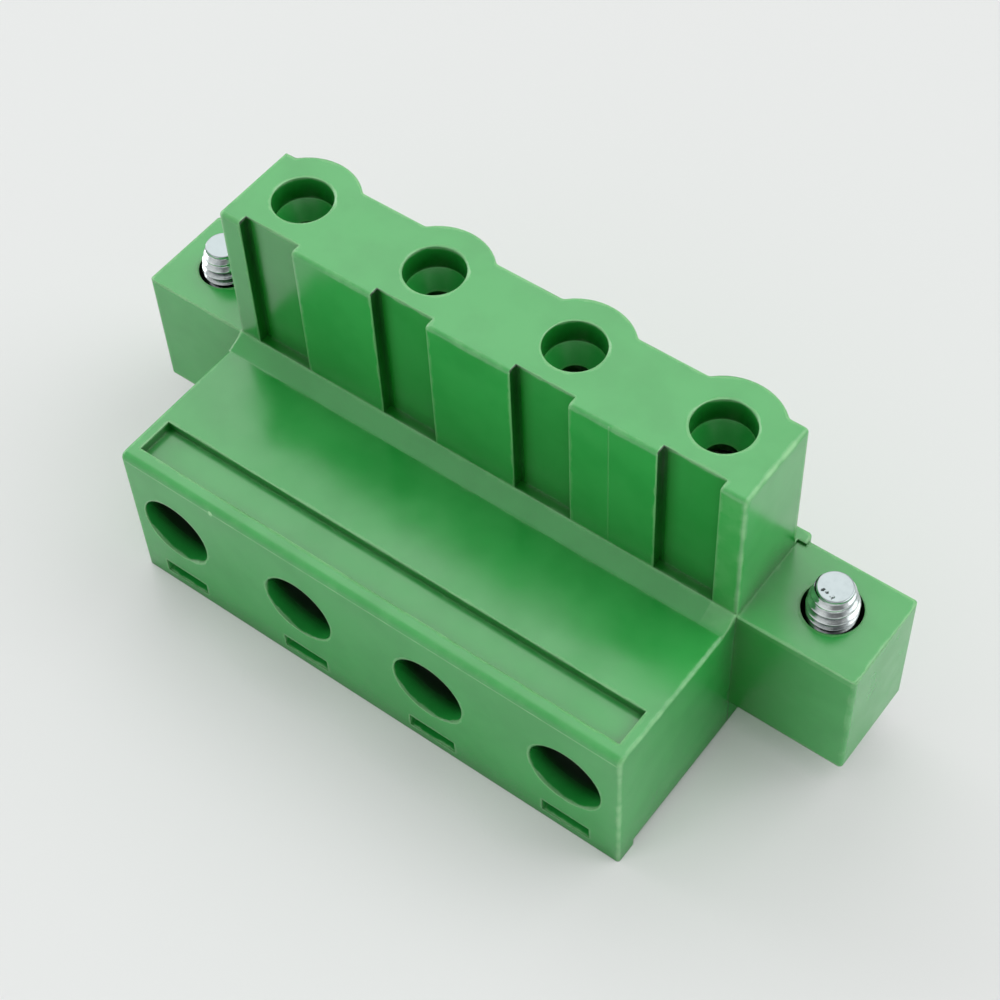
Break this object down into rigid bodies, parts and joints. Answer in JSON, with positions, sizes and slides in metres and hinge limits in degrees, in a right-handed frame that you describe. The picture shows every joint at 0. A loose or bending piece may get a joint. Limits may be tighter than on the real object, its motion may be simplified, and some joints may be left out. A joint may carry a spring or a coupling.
{
  "type": "pluggable terminal block",
  "caption": "Green screw-clamp plug for a board header: scalloped mating tower with round contact mouths, long screw face, and captive flange screws at both ends.",
  "frame": {"origin": "middle of the plug's outline, at the bottom edge of the screw face", "axes": "+X along the row of poles, +Y away from the screw face, +Z the way the plug is pushed in"},
  "size_m": [0.0406, 0.0142, 0.0174],
  "materials": {
    "green_polyamide": "satin moulded polyamide",
    "tinned_copper_alloy": "tin plated",
    "spring_steel": "plain stainless strip",
    "nickel_plated_brass": "nickel plated",
    "zinc_plated_steel": "bright zinc plated"
  },
  "bodies": {
    "housing": {"housing": "green_polyamide", "contact_1": "tinned_copper_alloy", "over_spring_1": "spring_steel", "contact_2": "tinned_copper_alloy", "over_spring_2": "spring_steel", "contact_3": "tinned_copper_alloy", "over_spring_3": "spring_steel", "contact_4": "tinned_copper_alloy", "over_spring_4": "spring_steel"},
    "clamp_screw_1": {"clamp_screw_1": "zinc_plated_steel"},
    "clamp_sleeve_1": {"clamp_sleeve_1": "nickel_plated_brass"},
    "clamp_screw_2": {"clamp_screw_2": "zinc_plated_steel"},
    "clamp_sleeve_2": {"clamp_sleeve_2": "nickel_plated_brass"},
    "clamp_screw_3": {"clamp_screw_3": "zinc_plated_steel"},
    "clamp_sleeve_3": {"clamp_sleeve_3": "nickel_plated_brass"},
    "clamp_screw_4": {"clamp_screw_4": "zinc_plated_steel"},
    "clamp_sleeve_4": {"clamp_sleeve_4": "nickel_plated_brass"},
    "flange_screw_left": {"flange_screw_left": "zinc_plated_steel"},
    "flange_screw_right": {"flange_screw_right": "zinc_plated_steel"}
  },
  "joints": [
    {"name": "clamp_screw_1_turn", "type": "hinge", "parent": "housing", "child": "clamp_screw_1", "pos_m": [-0.01155, -0.003, 0.00465], "axis": [0, 1, 0], "range_deg": [0, 2020]},
    {"name": "clamp_sleeve_1_slide", "type": "slide", "parent": "housing", "child": "clamp_sleeve_1", "axis": [0, -1, 0], "range_m": [0, 0.0028]},
    {"name": "clamp_screw_2_turn", "type": "hinge", "parent": "housing", "child": "clamp_screw_2", "pos_m": [-0.00393, -0.003, 0.00465], "axis": [0, 1, 0], "range_deg": [0, 2020]},
    {"name": "clamp_sleeve_2_slide", "type": "slide", "parent": "housing", "child": "clamp_sleeve_2", "axis": [0, -1, 0], "range_m": [0, 0.0028]},
    {"name": "clamp_screw_3_turn", "type": "hinge", "parent": "housing", "child": "clamp_screw_3", "pos_m": [0.00369, -0.003, 0.00465], "axis": [0, 1, 0], "range_deg": [0, 2020]},
    {"name": "clamp_sleeve_3_slide", "type": "slide", "parent": "housing", "child": "clamp_sleeve_3", "axis": [0, -1, 0], "range_m": [0, 0.0028]},
    {"name": "clamp_screw_4_turn", "type": "hinge", "parent": "housing", "child": "clamp_screw_4", "pos_m": [0.01131, -0.003, 0.00465], "axis": [0, 1, 0], "range_deg": [0, 2020]},
    {"name": "clamp_sleeve_4_slide", "type": "slide", "parent": "housing", "child": "clamp_sleeve_4", "axis": [0, -1, 0], "range_m": [0, 0.0028]},
    {"name": "flange_screw_left_turn", "type": "hinge", "parent": "housing", "child": "flange_screw_left", "pos_m": [-0.01762, 0.0044, 0.006], "axis": [0, 0, 1], "continuous": true},
    {"name": "flange_screw_right_turn", "type": "hinge", "parent": "housing", "child": "flange_screw_right", "pos_m": [0.01738, 0.0044, 0.006], "axis": [0, 0, 1], "continuous": true}
  ],
  "couplings": [
    {"joint": "clamp_screw_1_turn", "follows": "clamp_sleeve_1_slide", "rad_per_m": 12566},
    {"joint": "clamp_screw_2_turn", "follows": "clamp_sleeve_2_slide", "rad_per_m": 12566},
    {"joint": "clamp_screw_3_turn", "follows": "clamp_sleeve_3_slide", "rad_per_m": 12566},
    {"joint": "clamp_screw_4_turn", "follows": "clamp_sleeve_4_slide", "rad_per_m": 12566}
  ]
}
